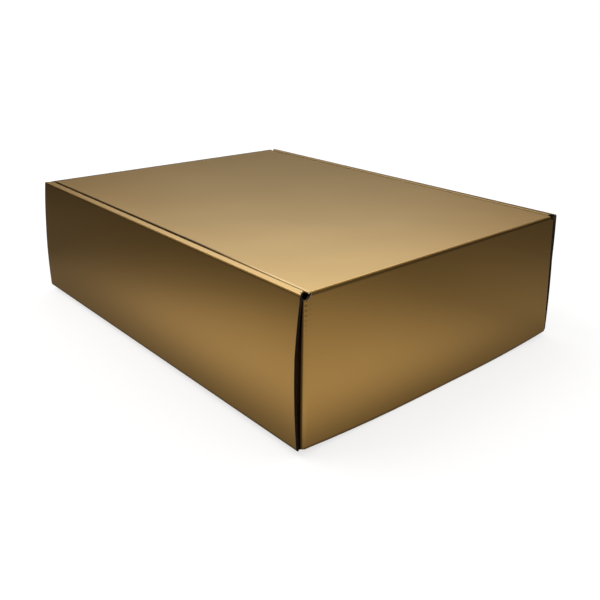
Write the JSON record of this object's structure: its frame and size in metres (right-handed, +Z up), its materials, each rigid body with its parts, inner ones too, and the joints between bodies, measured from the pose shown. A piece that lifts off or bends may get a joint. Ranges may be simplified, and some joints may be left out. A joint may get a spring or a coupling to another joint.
{
  "type": "bottle box",
  "caption": "Flat gold folded-board box with rolled side walls and a hinged tuck-in lid, for wine bottles laid side by side.",
  "frame": {"origin": "centre of the underside, on the floor plane that the box rests on", "axes": "+Z up, +Y towards the back wall that carries the lid's hinge crease, +X across the box"},
  "size_m": [0.2574, 0.334, 0.0965],
  "materials": {
    "gold_board": "satin metallic gold print"
  },
  "bodies": {
    "tray": {"tray": "gold_board"},
    "lid": {"lid": "gold_board"}
  },
  "joints": [
    {"name": "lid_hinge", "type": "hinge", "parent": "tray", "child": "lid", "pos_m": [0, 0.167, 0.0965], "axis": [-1, 0, 0], "range_deg": [0, 195]}
  ]
}
